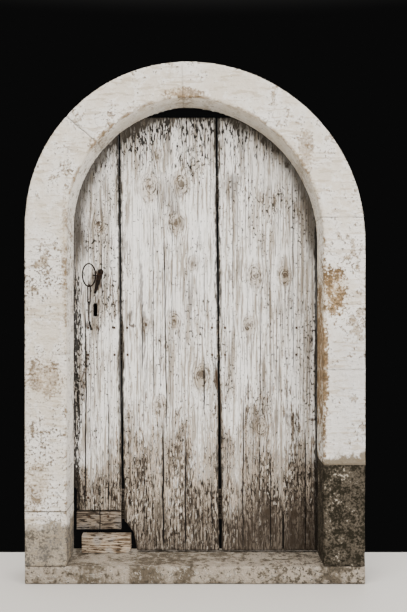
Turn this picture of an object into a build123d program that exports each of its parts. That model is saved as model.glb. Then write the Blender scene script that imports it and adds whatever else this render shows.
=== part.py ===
from build123d import *
import math
import os

# Arched door in its stone surround. Millimetres, +Z up, the outer side faces -Y.
# The origin lies under the middle of the sill. Depths are measured inwards from the
# outer face, and door heights from the top of the sill.

# Stone surround
outer_width = 1292.0
frame_depth = 250.0
sill_thick = 70.0
opening_width = 968.0
reveal = 185.0
arris_round = 9.0
left_spring = 1292.0
right_spring = 1235.0
crown_x = -49.0
crown_thick = 137.0
right_centre_x = -55.0
base_left_top = 205.0
jamb_left_top = 799.0
haunch_angle = 140.0
base_right_top = 383.0
jamb_lower_top = 742.0
jamb_over_spring = 85.0

# Leaf and the rebate that it closes into
overlap = 22.0
edge_gap = 10.0
face_gap = 2.0
foot_gap = 4.0
plank_thick = 32.0
leaf_top = 1737.0
joint_gap = 6.0
joint_1_top, joint_1_foot = -308.0, -289.0
joint_2_top, joint_2_foot = 84.0, 100.0
rot_height, rot_width = 262.0, 28.0
left_foot = 164.0
broken_foot, broken_knee, broken_knee_z, broken_top = 50.0, 37.0, 75.0, 125.0
split_x, split_width, split_height = 351.0, 7.0, 150.0
split_tip = 1.6

# Repair board under the left plank, and the offcut that fills the hole below it
patch_bottom, patch_height = 90.0, 71.0
patch_inset, patch_joint_gap = 7.0, 8.0
offcut_inset, offcut_past_joint = 30.0, 31.0
offcut_height, offcut_depth = 71.0, 44.0
offcut_proud = 14.0

# Ledges across the back
ledge_thick = 25.0
ledge_round = 4.0
ledge_levels = {"top": (1455.0, 110.0), "middle": (843.0, 160.0), "bottom": (183.0, 120.0)}
ledge_insets = {"top": (66.0, 92.0), "middle": (29.0, 54.0), "bottom": (29.0, 54.0)}
nail_head_r, nail_head_thick, nail_shank_r = 4.5, 1.5, 2.0
burr_over = 1.5
nail_inset = 26.0

# Strap hinges and pintles
hinge_levels = {"upper": 1180.0, "lower": 345.0}
strap_length, strap_root, strap_tip, strap_thick = 430.0, 48.0, 26.0, 5.0
eye_r, eye_height = 12.0, 48.0
pin_r, pin_clearance = 7.0, 0.05
pin_over = 6.0
eye_wall_gap = 2.0
shank_r, shank_depth = 6.0, 70.0
washer_gap = 0.3
strap_nail_count, nail_bite = 4, 24.0

# Rim lock behind the keyhole
key_inset, key_z = 83.0, 969.0
cut_past = 5.0
keyhole_width, keyhole_height = 16.0, 52.0
case_inset, case_width = 6.0, 132.0
case_low, case_high = 932.0, 1030.0
case_depth, case_wall, lock_nail_inset = 24.0, 2.5, 6.5
bolt_height, bolt_thick, bolt_length = 20.0, 10.0, 92.0
bolt_z, bolt_gap = 1010.0, 0.3
bolt_travel = 34.0
keeper_height, keeper_width, keeper_thick = 80.0, 24.0, 3.0
pocket_depth, pocket_play = 34.0, 2.0

# Ring, staple, link and hooked peg
ring_r, ring_rod, ring_turn = 45.0, 3.0, 63.0
staple_inset, staple_z, staple_rod = 85.0, 1106.0, 2.5
staple_half = 9.0
ring_out, ring_play = 8.0, 0.3
plate_thick, plate_top_r, plate_foot_r = 3.0, 11.0, 5.0
plate_foot_aside, plate_foot_drop = 2.0, 68.0
stud_aside, stud_rise, stud_head_r, stud_head = 20.0, 15.0, 10.0, 6.0
link_length, link_width, link_rod = 76.0, 17.5, 2.5
link_play = 0.3
peg_length, peg_rod = 100.0, 3.0
peg_eye_r, peg_eye_rod, peg_eye_play = 8.0, 2.0, 0.8
peg_foot_r, peg_foot_out, knee_share = 5.0, 16.0, 0.62

half_opening = opening_width / 2
half_outer = outer_width / 2
front_y = -frame_depth / 2
leaf_y = front_y + reveal + face_gap
back_y = leaf_y + plank_thick
rebate = overlap + edge_gap
jamb_upper_top = right_spring + jamb_over_spring
patch_top = patch_bottom + patch_height
patch_left, patch_right = patch_inset - half_opening, joint_1_foot - patch_joint_gap
offcut_left, offcut_right = offcut_inset - half_opening, joint_1_foot + offcut_past_joint
key_x = key_inset - half_opening
staple_x = staple_inset - half_opening
plate_foot_x, plate_foot_z = staple_x - plate_foot_aside, staple_z - plate_foot_drop
stud_x, stud_z = staple_x + stud_aside, staple_z + stud_rise
leaf_half = half_opening + overlap
case_left = case_inset - leaf_half
ledge_ends = {name: (left - half_opening, half_opening - right)
              for name, (left, right) in ledge_insets.items()}
axis_x = half_opening + rebate - eye_r - eye_wall_gap
axis_y = back_y + eye_r
staple_reach = ring_out + ring_rod + ring_play + staple_rod
crown_z = right_spring + math.sqrt((half_opening - right_centre_x) ** 2
                                   - (crown_x - right_centre_x) ** 2)


def block(x0, x1, y0, y1, z0, z1):
    """A box between two corners, its heights measured from the top of the sill."""
    middle = Pos((x0 + x1) / 2, (y0 + y1) / 2, sill_thick + (z0 + z1) / 2)
    return middle * Box(x1 - x0, y1 - y0, z1 - z0)


def level_rod(radius, x, y0, y1, z):
    """A round rod along Y from y0 to y1."""
    turn = Rot(-90, 0, 0)
    return Pos(x, y0, sill_thick + z) * turn * Cylinder(radius, y1 - y0,
                                                         align=(Align.CENTER, Align.CENTER, Align.MIN))


def nail_rod(half, x, y0, y1, z):
    """A square forged bar along Y from y0 to y1."""
    return block(x - half, x + half, y0, y1, z - half, z + half)


def post(radius, x, y, z0, z1):
    """A round upright from z0 to z1."""
    return Pos(x, y, sill_thick + z0) * Cylinder(radius, z1 - z0,
                                                 align=(Align.CENTER, Align.CENTER, Align.MIN))


def prism(outline, y0, y1):
    """Extrudes a face drawn in X and Z from y0 to y1."""
    plane = Plane(origin=(0, y0, sill_thick), x_dir=(1, 0, 0), z_dir=(0, -1, 0))
    return extrude(plane * outline, -(y1 - y0))


def reveal_section(inner, outer):
    """Section of a jamb or arch stone: reveal, rebate behind it and a worn outer arris."""
    depth = frame_depth
    bend = math.sqrt(0.5)
    arris = ThreePointArc((inner, arris_round),
                          (inner + arris_round * (1 - bend), arris_round * (1 - bend)),
                          (inner + arris_round, 0))
    sides = Polyline((inner + arris_round, 0), (outer, 0), (outer, depth),
                     (inner + rebate, depth), (inner + rebate, reveal), (inner, reveal),
                     (inner, arris_round))
    return make_face([arris, *sides.edges()])


def jamb(side, low, high):
    """A straight jamb stone on the left (-1) or right (+1) side."""
    section = Plane(origin=(0, front_y, sill_thick + low)) * reveal_section(half_opening, half_outer)
    stone = extrude(section, high - low)
    return stone if side > 0 else mirror(stone, Plane.YZ)


def arch_ring(centre_x, spring, side):
    """A quarter turn of the surround on one side, before its joints and extrados are cut."""
    inner = half_opening - side * centre_x
    reach = crown_thick * 2
    section = reveal_section(inner, inner + reach)
    turned = Plane(origin=(centre_x, front_y, sill_thick + spring),
                   x_dir=(side, 0, 0), z_dir=(0, 0, side)) * section
    axis = Axis((centre_x, 0, sill_thick + spring), (0, -side, 0))
    return revolve(turned, axis, 100)


def extrados(spring, side):
    """The disc whose rim runs from the jamb's outer edge to the top of the crown."""
    rise = crown_z + crown_thick - spring
    edge = side * half_outer
    centre_x = (edge ** 2 - crown_x ** 2 - rise ** 2) / (2 * (edge - crown_x))
    return Pos(centre_x, spring) * Circle(abs(edge - centre_x))


def sector(points):
    return make_face(Polyline(*points, close=True).edges())


def haunch_end(reach):
    angle = math.radians(haunch_angle)
    return reach * math.cos(angle), left_spring + reach * math.sin(angle)


def arch_left():
    far = 2 * half_outer
    region = sector([(0, left_spring), haunch_end(far), (crown_x, far + left_spring),
                     (crown_x, left_spring)])
    face = extrados(left_spring, -1) & region
    return arch_ring(0.0, left_spring, -1) & prism(face, front_y - 1, front_y + frame_depth + 1)


def springer_left():
    far = 2 * half_outer
    region = sector([(0, left_spring), (-far, left_spring), haunch_end(far)])
    face = extrados(left_spring, -1) & region
    curved = arch_ring(0.0, left_spring, -1) & prism(face, front_y - 1, front_y + frame_depth + 1)
    return jamb(-1, jamb_left_top, left_spring) + curved


def arch_right():
    far = 2 * half_outer
    region = Pos(crown_x, jamb_upper_top) * Rectangle(far, far, align=(Align.MIN, Align.MIN))
    face = extrados(right_spring, 1) & region
    ring = arch_ring(right_centre_x, right_spring, 1)
    return ring & prism(face, front_y - 1, front_y + frame_depth + 1)


def jamb_right_upper():
    far = 2 * half_outer
    region = Pos(0, right_spring) * Rectangle(far, jamb_upper_top - right_spring,
                                              align=(Align.MIN, Align.MIN))
    face = extrados(right_spring, 1) & region
    ring = arch_ring(right_centre_x, right_spring, 1)
    curved = ring & prism(face, front_y - 1, front_y + frame_depth + 1)
    return jamb(1, jamb_lower_top, right_spring) + curved


def joint_x(top, foot, z):
    return foot + (top - foot) * z / leaf_top


def leaf_outline():
    """The arched outline of the leaf with its flat head."""
    left = Pos(0, left_spring) * Circle(leaf_half)
    right = Pos(right_centre_x, right_spring) * Circle(leaf_half - right_centre_x)
    tall = 2 * leaf_half
    left_half = left & Pos(crown_x, left_spring) * Rectangle(tall, tall, align=(Align.MAX, Align.MIN))
    right_half = right & Pos(crown_x, right_spring) * Rectangle(tall, tall, align=(Align.MIN, Align.MIN))
    left_foot_part = Pos(-leaf_half, 0) * Rectangle(leaf_half + crown_x, left_spring,
                                                    align=(Align.MIN, Align.MIN))
    right_foot_part = Pos(crown_x, 0) * Rectangle(leaf_half - crown_x, right_spring,
                                                  align=(Align.MIN, Align.MIN))
    whole = left_half + left_foot_part + right_half + right_foot_part
    limit = Pos(0, foot_gap) * Rectangle(2 * tall, leaf_top - foot_gap, align=(Align.CENTER, Align.MIN))
    return whole & limit


def plank(left_line, right_line):
    """The part of the leaf between two leaning joints, each given by its head and foot."""
    height = leaf_top
    region = sector([(left_line[1], 0), (right_line[1], 0), (right_line[0], height),
                     (left_line[0], height)])
    return prism(leaf_outline() & region, leaf_y, back_y)


def keyhole_cutter():
    low = key_z - keyhole_height / 2
    high = key_z + keyhole_height / 2 - keyhole_width / 2
    slot = block(key_x - keyhole_width / 2, key_x + keyhole_width / 2, leaf_y - cut_past,
                 back_y + cut_past, low, high)
    return slot + level_rod(keyhole_width / 2, key_x, leaf_y - cut_past, back_y + cut_past, high)


def plank_left():
    wide = leaf_half * 2
    board = plank((-wide, -wide), (joint_1_top - joint_gap / 2, joint_1_foot - joint_gap / 2))
    rot = block(-leaf_half, -leaf_half + rot_width, leaf_y, back_y, 0, rot_height)
    foot = block(-leaf_half, 0, leaf_y, back_y, 0, left_foot)
    return board - rot - foot - keyhole_cutter() - staple_holes() - nails_through() - lock_nail_holes()


def plank_middle():
    board = plank((joint_1_top + joint_gap / 2, joint_1_foot + joint_gap / 2),
                  (joint_2_top - joint_gap / 2, joint_2_foot - joint_gap / 2))
    corner = joint_1_foot + joint_gap / 2 - 1
    broken = sector([(corner, 0), (corner + broken_foot, 0), (corner + broken_knee, broken_knee_z),
                     (corner, broken_top)])
    return board - prism(broken, leaf_y, back_y) - nails_through()


def plank_right():
    wide = leaf_half * 2
    board = plank((joint_2_top + joint_gap / 2, joint_2_foot + joint_gap / 2), (wide, wide))
    split = sector([(split_x - split_width / 2, 0), (split_x + split_width / 2, 0),
                    (split_x + split_tip / 2, split_height), (split_x - split_tip / 2, split_height)])
    return board - prism(split, leaf_y, back_y) - nails_through() - strap_nail_holes()


def patch_board():
    return block(patch_left, patch_right, leaf_y, back_y, patch_bottom, patch_top) - nails_through()


def ledge(name):
    middle, height = ledge_levels[name]
    left, right = ledge_ends[name]
    board = block(left, right, back_y, back_y + ledge_thick, middle - height / 2, middle + height / 2)
    rear = board.faces().sort_by(Axis.Y)[-1]
    return chamfer(rear.edges(), ledge_round) - nails_through()


def nail_places():
    """Nail centres in X and height: across the planks at each ledge, and on the patch."""
    places = []
    for name, (middle, height) in ledge_levels.items():
        left, right = ledge_ends[name]
        rows = (middle - height / 2 + nail_inset, middle + height / 2 - nail_inset)
        if name == "bottom":
            rows = rows[1:]
        for z in rows:
            joint_1 = joint_x(joint_1_top, joint_1_foot, z)
            joint_2 = joint_x(joint_2_top, joint_2_foot, z)
            places += [(left + nail_inset, z), (joint_1 - nail_inset, z), (joint_1 + nail_inset, z),
                       (joint_2 - nail_inset, z), (joint_2 + nail_inset, z), (right - nail_inset, z)]
    patch_z = (ledge_levels["bottom"][0] - ledge_levels["bottom"][1] / 2 + patch_top) / 2
    places += [(patch_left + 2 * nail_inset, patch_z), (patch_right - 2 * nail_inset, patch_z)]
    return places


def nails_through():
    return Compound([nail_rod(nail_shank_r, x, leaf_y - 1, back_y + ledge_thick + 1, z)
                     for x, z in nail_places()])


def ledge_nails():
    """Wrought nails through planks and ledges, each with a head outside and a burr inside."""
    rear = back_y + ledge_thick
    made = []
    for x, z in nail_places():
        shank = nail_rod(nail_shank_r, x, leaf_y - nail_head_thick, rear + nail_head_thick, z)
        head = nail_rod(nail_head_r, x, leaf_y - nail_head_thick, leaf_y, z)
        burr = nail_rod(nail_shank_r + burr_over, x, rear, rear + nail_head_thick, z)
        made.append(shank + head + burr)
    return Compound(made)


def strap_nail_places(name):
    level = hinge_levels[name]
    pitch = (strap_length - 2 * strap_root) / (strap_nail_count - 1)
    return [(axis_x - strap_root - i * pitch, level) for i in range(strap_nail_count)]


def strap_nail_holes():
    """Nail holes through the straps and into the plank behind them."""
    return Compound([nail_rod(nail_shank_r, x, back_y - nail_bite, back_y + strap_thick + 1, z)
                     for name in hinge_levels for x, z in strap_nail_places(name)])


def strap_nails():
    made = []
    for name in hinge_levels:
        for x, z in strap_nail_places(name):
            shank = nail_rod(nail_shank_r, x, back_y - nail_bite, back_y + strap_thick, z)
            made.append(shank + nail_rod(nail_head_r, x, back_y + strap_thick,
                                          back_y + strap_thick + nail_head_thick, z))
    return Compound(made)


def strap(name):
    """Tapered strap with a rolled eye on the pintle and a rounded tip."""
    level = hinge_levels[name]
    tip_x = axis_x - strap_length
    outline = sector([(axis_x, level - strap_root / 2), (axis_x, level + strap_root / 2),
                      (tip_x, level + strap_tip / 2), (tip_x, level - strap_tip / 2)])
    band = prism(outline + Pos(tip_x, level) * Circle(strap_tip / 2), back_y, back_y + strap_thick)
    eye = post(eye_r, axis_x, axis_y, level - eye_height / 2, level + eye_height / 2)
    bore = post(pin_r + pin_clearance, axis_x, axis_y, level - eye_height, level + eye_height)
    return band + eye - bore - strap_nail_holes()


def pintle(name):
    """Hook pin whose shank is let into the jamb under the eye."""
    level = hinge_levels[name]
    eye_foot = level - eye_height / 2
    seat = eye_foot - washer_gap
    shank_z = seat - shank_r
    pin = post(pin_r, axis_x, axis_y, shank_z - shank_r, level + eye_height / 2 + pin_over)
    collar = post(eye_r, axis_x, axis_y, seat - 2 * shank_r, seat)
    wall = half_opening + rebate
    shank = Pos(axis_x, axis_y, sill_thick + shank_z) * Rot(0, 90, 0) * Cylinder(
        shank_r, wall - axis_x + shank_depth, align=(Align.CENTER, Align.CENTER, Align.MIN))
    return pin + collar + shank


def lock_case():
    """Pressed case, open towards the wood, with a slot for the bolt and an inner guide."""
    right = case_left + case_width
    rear = back_y + case_depth
    shell = block(case_left, right, back_y, rear, case_low, case_high)
    inside = block(case_left + case_wall, right - case_wall, back_y - 1, rear - case_wall,
                   case_low + case_wall, case_high - case_wall)
    guide_x = case_left + bolt_length - case_wall * 3
    guide = block(guide_x, guide_x + case_wall, back_y, rear - case_wall,
                  bolt_z - bolt_height, bolt_z + bolt_height / 2 + case_wall)
    return shell - inside + guide - bolt_way(bolt_gap) - lock_nail_holes()


def lock_nail_places():
    right = case_left + case_width
    return [(x, z) for x in (case_left + lock_nail_inset, right - lock_nail_inset)
            for z in (case_low + lock_nail_inset, case_high - lock_nail_inset)]


def lock_nail_holes():
    return Compound([nail_rod(nail_shank_r, x, back_y - nail_bite, back_y + case_depth + 1, z)
                     for x, z in lock_nail_places()])


def lock_nails():
    """Four long nails at the corners of the lock case."""
    rear = back_y + case_depth
    return Compound([nail_rod(nail_shank_r, x, back_y - nail_bite, rear, z)
                     + nail_rod(nail_head_r, x, rear, rear + nail_head_thick, z)
                     for x, z in lock_nail_places()])


def bolt_way(gap):
    y0 = back_y + (case_depth - bolt_thick) / 2
    return block(case_left - 1, case_left + bolt_length + 1, y0 - gap, y0 + bolt_thick + gap,
                 bolt_z - bolt_height / 2 - gap, bolt_z + bolt_height / 2 + gap)


def lock_bolt():
    y0 = back_y + (case_depth - bolt_thick) / 2
    bar = block(case_left, case_left + bolt_length, y0, y0 + bolt_thick,
                bolt_z - bolt_height / 2, bolt_z + bolt_height / 2)
    talon_x = case_left + bolt_length / 2
    talon = block(talon_x, talon_x + bolt_thick, y0 - 1, y0 + bolt_thick + 1,
                  bolt_z - bolt_height, bolt_z - bolt_height / 2 + bolt_thick / 2)
    return bar - talon


def keeper_pocket():
    """Space in the left jamb for the keeper plate and for the bolt behind it."""
    wall = -(half_opening + rebate)
    middle = back_y + case_depth / 2
    plate = block(wall - keeper_thick, wall, middle - keeper_width / 2, middle + keeper_width / 2,
                  bolt_z - keeper_height / 2, bolt_z + keeper_height / 2)
    hole = block(wall - pocket_depth, wall, middle - bolt_thick / 2 - pocket_play,
                 middle + bolt_thick / 2 + pocket_play, bolt_z - bolt_height / 2 - pocket_play,
                 bolt_z + bolt_height / 2 + pocket_play)
    return plate, hole


def keeper():
    plate, hole = keeper_pocket()
    return plate - hole


def staple_holes():
    legs = [level_rod(staple_rod, staple_x + side * staple_half, leaf_y - plate_thick - 1,
                      back_y + 1, staple_z)
            for side in (-1, 1)]
    stud = nail_rod(nail_shank_r, stud_x, leaf_y - plate_thick - 1, back_y + 1, stud_z)
    return Compound([*legs, stud])


def staple():
    """A bow of round iron, level, with two legs driven through the plank."""
    bend = leaf_y - staple_reach + staple_half
    path = Polyline((staple_x - staple_half, back_y, 0), (staple_x - staple_half, bend, 0))
    path += ThreePointArc((staple_x - staple_half, bend, 0), (staple_x, bend - staple_half, 0),
                          (staple_x + staple_half, bend, 0))
    path += Polyline((staple_x + staple_half, bend, 0), (staple_x + staple_half, back_y, 0))
    start = Plane(origin=(staple_x - staple_half, back_y, 0), z_dir=(0, -1, 0))
    bow = sweep(start * rod_section(staple_rod), path=path)
    return Pos(0, 0, sill_thick + staple_z) * bow


def ring_plate():
    """Tapered iron plate under the staple, held at its top by a domed stud."""
    hull = make_hull((Pos(stud_x, stud_z) * Circle(plate_top_r)
                      + Pos(plate_foot_x, plate_foot_z) * Circle(plate_foot_r)).edges())
    return prism(hull, leaf_y - plate_thick, leaf_y) - staple_holes()


def plate_stud():
    face = leaf_y - plate_thick
    dome = Pos(stud_x, face, sill_thick + stud_z) * Rot(90, 0, 0) * Cone(
        stud_head_r, stud_head_r / 2, stud_head, align=(Align.CENTER, Align.CENTER, Align.MIN))
    return dome + nail_rod(nail_shank_r, stud_x, face, back_y, stud_z)


def ring_frame():
    """Plane of the pull ring: X away from the staple, Y up, through the ring's centre."""
    out = Vector(-math.cos(math.radians(ring_turn)), -math.sin(math.radians(ring_turn)), 0)
    centre = Vector(staple_x, leaf_y - ring_out, sill_thick + staple_z) + out * ring_r
    return Plane(origin=centre, x_dir=out, z_dir=out.cross(Vector(0, 0, 1)))


def pull_ring():
    plane = ring_frame()
    return bent_rod(plane.origin, plane.x_dir, ring_r, ring_rod, 360)


def link_frame():
    """Upright plane through the lowest point of the ring, across the ring's rod."""
    ring = ring_frame()
    foot = ring.origin - Vector(0, 0, ring_r)
    return Plane(origin=foot, x_dir=ring.z_dir, z_dir=ring.x_dir)


def upright(plane, u, v):
    """A point u across and v up in an upright plane."""
    return plane.origin + plane.x_dir * u + Vector(0, 0, v)


def rod_section(radius):
    """Hand-forged rod: round, with eight flats from the hammer."""
    return RegularPolygon(radius, 8)


def bar_between(start, end, radius, across):
    run = end - start
    return extrude(Plane(origin=start, x_dir=across, z_dir=run) * rod_section(radius), run.length)


def bent_rod(centre, across, radius, rod, angle):
    """A rod bent round a centre in the plane of across and Z, upwards for a positive angle."""
    normal = across.cross(Vector(0, 0, 1))
    section = Plane(origin=centre + across * radius, x_dir=across, z_dir=Vector(0, 0, 1)) * rod_section(rod)
    turn = normal if angle > 0 else normal * -1
    return revolve(section, Axis(tuple(centre), tuple(turn)), abs(angle))


def hasp_link():
    """Long link of round iron that hangs on the foot of the ring."""
    plane = link_frame()
    bend = link_width / 2 - link_rod
    top = ring_rod + link_play + link_rod - bend
    low = top + bend + link_rod - link_length + link_width / 2
    made = bent_rod(upright(plane, 0, top), plane.x_dir, bend, link_rod, 180)
    made += bent_rod(upright(plane, 0, low), plane.x_dir, bend, link_rod, -180)
    for side in (-1, 1):
        made += bar_between(upright(plane, side * bend, low), upright(plane, side * bend, top), link_rod,
                            plane.x_dir)
    return made


def peg_frame():
    """Upright plane of the peg's eye, and the height of the bar that the eye hangs on."""
    plane = link_frame()
    bend = link_width / 2 - link_rod
    top = ring_rod + link_play + link_rod - bend
    bar = top + bend + link_rod - link_length + link_width / 2 - bend
    return Plane(origin=upright(plane, 0, bar), x_dir=plane.z_dir, z_dir=plane.x_dir)


def hasp_hook():
    """Forged peg with an eye at its head and a thick foot bent to one side."""
    plane = peg_frame()
    drop = peg_eye_r - 2 * peg_eye_rod - link_rod - peg_eye_play
    eye = bent_rod(upright(plane, 0, -drop), plane.x_dir, peg_eye_r - peg_eye_rod, peg_eye_rod, 360)
    neck = -drop - peg_eye_r + peg_eye_rod
    knee = neck - peg_length * knee_share
    foot = neck - peg_length
    shaft = bar_between(upright(plane, 0, neck), upright(plane, 0, knee), peg_rod, plane.x_dir)
    run = upright(plane, -peg_foot_out, foot) - upright(plane, 0, knee)
    level = Plane(origin=upright(plane, 0, knee), x_dir=plane.x_dir, z_dir=Vector(0, 0, -1))
    end = Plane(origin=upright(plane, -peg_foot_out, foot), x_dir=plane.x_dir, z_dir=run)
    toe = loft([level * rod_section(peg_rod), end * rod_section(peg_foot_r)])
    return eye + shaft + toe


def write(name, shape):
    export_step(shape, f"parts/{name}.step")


def write_stones():
    write("sill", Pos(0, 0, 0) * Box(outer_width, frame_depth, sill_thick,
                                     align=(Align.CENTER, Align.CENTER, Align.MIN)))
    write("base_left", jamb(-1, 0, base_left_top))
    plate, hole = keeper_pocket()
    write("jamb_left", jamb(-1, base_left_top, jamb_left_top))
    write("springer_left", springer_left() - plate - hole)
    write("arch_left", arch_left())
    write("arch_right", arch_right())
    write("jamb_right_upper", jamb_right_upper() - pintle("upper"))
    write("jamb_right_lower", jamb(1, base_right_top, jamb_lower_top))
    write("base_right", jamb(1, 0, base_right_top) - pintle("lower"))
    write("offcut_block", block(offcut_left, offcut_right, leaf_y - offcut_proud,
                                leaf_y - offcut_proud + offcut_depth, 0, offcut_height))


def write_leaf():
    write("plank_left", plank_left())
    write("plank_middle", plank_middle())
    write("plank_right", plank_right())
    write("patch_board", patch_board())
    for name in ledge_levels:
        write(f"ledge_{name}", ledge(name))
    write("ledge_nails", ledge_nails())
    for name in hinge_levels:
        write(f"strap_{name}", strap(name))
        write(f"pintle_{name}", pintle(name))
    write("strap_nails", strap_nails())


def write_ironwork():
    write("lock_case", lock_case())
    write("lock_nails", lock_nails())
    write("lock_bolt", lock_bolt())
    write("keeper", keeper())
    write("staple", staple())
    write("ring_plate", ring_plate())
    write("plate_stud", plate_stud())
    write("pull_ring", pull_ring())
    write("hasp_link", hasp_link())
    write("hasp_hook", hasp_hook())


os.makedirs("parts", exist_ok=True)
write_stones()
write_leaf()
write_ironwork()
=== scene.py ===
import math

import bpy
import numpy as np
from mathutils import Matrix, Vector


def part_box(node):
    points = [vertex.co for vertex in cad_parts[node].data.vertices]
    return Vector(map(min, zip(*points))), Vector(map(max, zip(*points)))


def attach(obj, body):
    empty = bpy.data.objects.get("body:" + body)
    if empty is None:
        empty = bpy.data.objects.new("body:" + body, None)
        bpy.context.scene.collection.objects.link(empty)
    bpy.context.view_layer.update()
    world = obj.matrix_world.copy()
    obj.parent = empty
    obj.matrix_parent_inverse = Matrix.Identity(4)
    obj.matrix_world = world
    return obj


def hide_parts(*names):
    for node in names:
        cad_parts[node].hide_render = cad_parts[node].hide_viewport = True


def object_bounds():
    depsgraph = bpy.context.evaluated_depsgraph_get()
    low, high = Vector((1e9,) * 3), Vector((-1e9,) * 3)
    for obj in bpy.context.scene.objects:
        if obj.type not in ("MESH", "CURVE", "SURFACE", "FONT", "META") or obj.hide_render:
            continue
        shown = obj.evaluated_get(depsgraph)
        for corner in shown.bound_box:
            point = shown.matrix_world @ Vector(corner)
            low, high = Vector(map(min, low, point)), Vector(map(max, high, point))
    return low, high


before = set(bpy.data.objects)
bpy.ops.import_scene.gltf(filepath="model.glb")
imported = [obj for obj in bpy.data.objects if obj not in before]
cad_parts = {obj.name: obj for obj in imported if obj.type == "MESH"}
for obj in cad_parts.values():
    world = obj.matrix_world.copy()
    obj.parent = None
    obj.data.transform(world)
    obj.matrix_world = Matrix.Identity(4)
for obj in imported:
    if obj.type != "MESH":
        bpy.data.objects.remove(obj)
CAD_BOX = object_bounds()

# Places in metres, heights from the floor. The sill's top carries the leaf.
SILL_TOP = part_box("sill")[1][2]
LEAF_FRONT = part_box("plank_middle")[0][1]
LEAF_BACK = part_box("plank_middle")[1][1]
LEAF_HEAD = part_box("plank_middle")[1][2]

# The photograph's viewpoint, and the floor, which ends behind the door
CAMERA_X = 0.032
CAMERA_HEIGHT = SILL_TOP + 0.984
CAMERA_DISTANCE = 3.40
LENS, SENSOR = 50.0, 36.0
FLOOR_WIDTH, FLOOR_NEAR, FLOOR_FAR = 7.0, -5.0, 0.30

# The arch has two arcs, met at the crown joint. X from the door's middle, heights above the sill.
CROWN_X = -0.049
LEFT_CENTRE, LEFT_SPRING = 0.0, 1.292
RIGHT_CENTRE, RIGHT_SPRING = -0.055, 1.235
OPENING_HALF, RIGHT_OPENING_RADIUS = 0.484, 0.539
LEAF_HALF, RIGHT_LEAF_RADIUS = 0.506, 0.561
LEAF_HEIGHT = 1.737
HAUNCH_ANGLE = math.radians(140)

# Cell sizes of the meshes
BOARD_ACROSS = 0.0034
BOARD_ALONG = 0.0075
STONE_CELL = 0.0075
SMALL_BOARD_CELL = 0.0022
LEDGE_CELL = 0.005

# How far shader noise is stretched about its middle value
SWING = 1.7

# Colours that several marks share
GAP_BLACK = (0.008, 0.006, 0.005)
ROT_BLACK = (0.008, 0.006, 0.004)

# Knots in the planks: X, height above the sill, radius
KNOTS = [(-0.182, 1.460, 0.026), (-0.058, 1.472, 0.024), (-0.078, 1.316, 0.024),
         (-0.386, 1.308, 0.018), (-0.150, 1.588, 0.012), (-0.012, 1.152, 0.015),
         (-0.086, 0.920, 0.018), (-0.198, 0.908, 0.014), (0.026, 0.704, 0.026),
         (-0.142, 0.584, 0.020), (0.238, 1.108, 0.022), (0.358, 1.104, 0.018),
         (0.214, 0.908, 0.016), (0.262, 0.500, 0.018)]

# Drying cracks: plank, X at the foot, lean per metre, low and high end, half width, wander
CRACKS = [("middle", -0.128, -0.004, 0.01, 0.52, 0.0030, 0.006),
          ("middle", -0.110, -0.012, 0.50, 1.26, 0.0017, 0.007),
          ("middle", -0.166, -0.003, 0.62, 1.40, 0.0012, 0.006),
          ("middle", -0.098, 0.004, 0.88, 1.34, 0.0010, 0.005),
          ("middle", -0.040, 0.002, 0.01, 0.46, 0.0024, 0.004),
          ("middle", -0.216, 0.004, 0.72, 1.04, 0.0015, 0.010),
          ("middle", -0.150, 0.000, 1.36, 1.52, 0.0013, 0.003),
          ("middle", 0.030, 0.006, 0.56, 0.80, 0.0022, 0.004),
          ("middle", -0.205, 0.000, 0.06, 0.40, 0.0016, 0.005),
          ("middle", 0.066, 0.000, 0.01, 0.33, 0.0015, 0.004),
          ("left", -0.345, -0.004, 0.17, 0.62, 0.0016, 0.006),
          ("left", -0.440, 0.000, 0.17, 0.98, 0.0022, 0.008),
          ("left", -0.380, 0.004, 1.02, 1.42, 0.0012, 0.004),
          ("right", 0.300, 0.003, 0.01, 0.42, 0.0014, 0.005),
          ("right", 0.190, 0.002, 0.01, 0.62, 0.0016, 0.006),
          ("right", 0.440, 0.000, 0.01, 0.50, 0.0016, 0.005),
          ("right", 0.255, 0.006, 0.30, 0.95, 0.0011, 0.006),
          ("right", 0.395, -0.004, 0.72, 1.50, 0.0010, 0.005),
          ("right", 0.150, 0.000, 0.90, 1.55, 0.0010, 0.005)]

# Rust and dirt on the planks: X, height above the sill, half width, half height, strength
STAINS = [(-0.404, 1.080, 0.022, 0.050, 0.7), (-0.425, 1.020, 0.010, 0.075, 0.6),
          (-0.386, 1.090, 0.014, 0.055, 0.9), (-0.394, 0.985, 0.014, 0.045, 0.8),
          (-0.436, 0.906, 0.010, 0.014, 0.8), (-0.391, 0.898, 0.010, 0.014, 0.8),
          (-0.218, 1.060, 0.009, 0.120, 0.7), (-0.206, 0.880, 0.011, 0.110, 0.7),
          (-0.262, 0.940, 0.012, 0.030, 0.8), (0.142, 1.470, 0.045, 0.060, 0.5),
          (-0.100, 1.420, 0.050, 0.080, 0.35), (0.290, 0.160, 0.016, 0.016, 0.9),
          (0.395, 0.150, 0.016, 0.022, 0.9), (-0.040, 0.120, 0.024, 0.016, 0.7),
          (0.084, 0.695, 0.014, 0.050, 1.0), (0.030, 0.714, 0.030, 0.014, 0.8),
          (0.098, 0.560, 0.008, 0.110, 0.8), (-0.250, 0.905, 0.012, 0.008, 0.9),
          (0.385, 0.545, 0.040, 0.014, 0.5), (0.470, 0.530, 0.016, 0.008, 0.9)]

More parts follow.
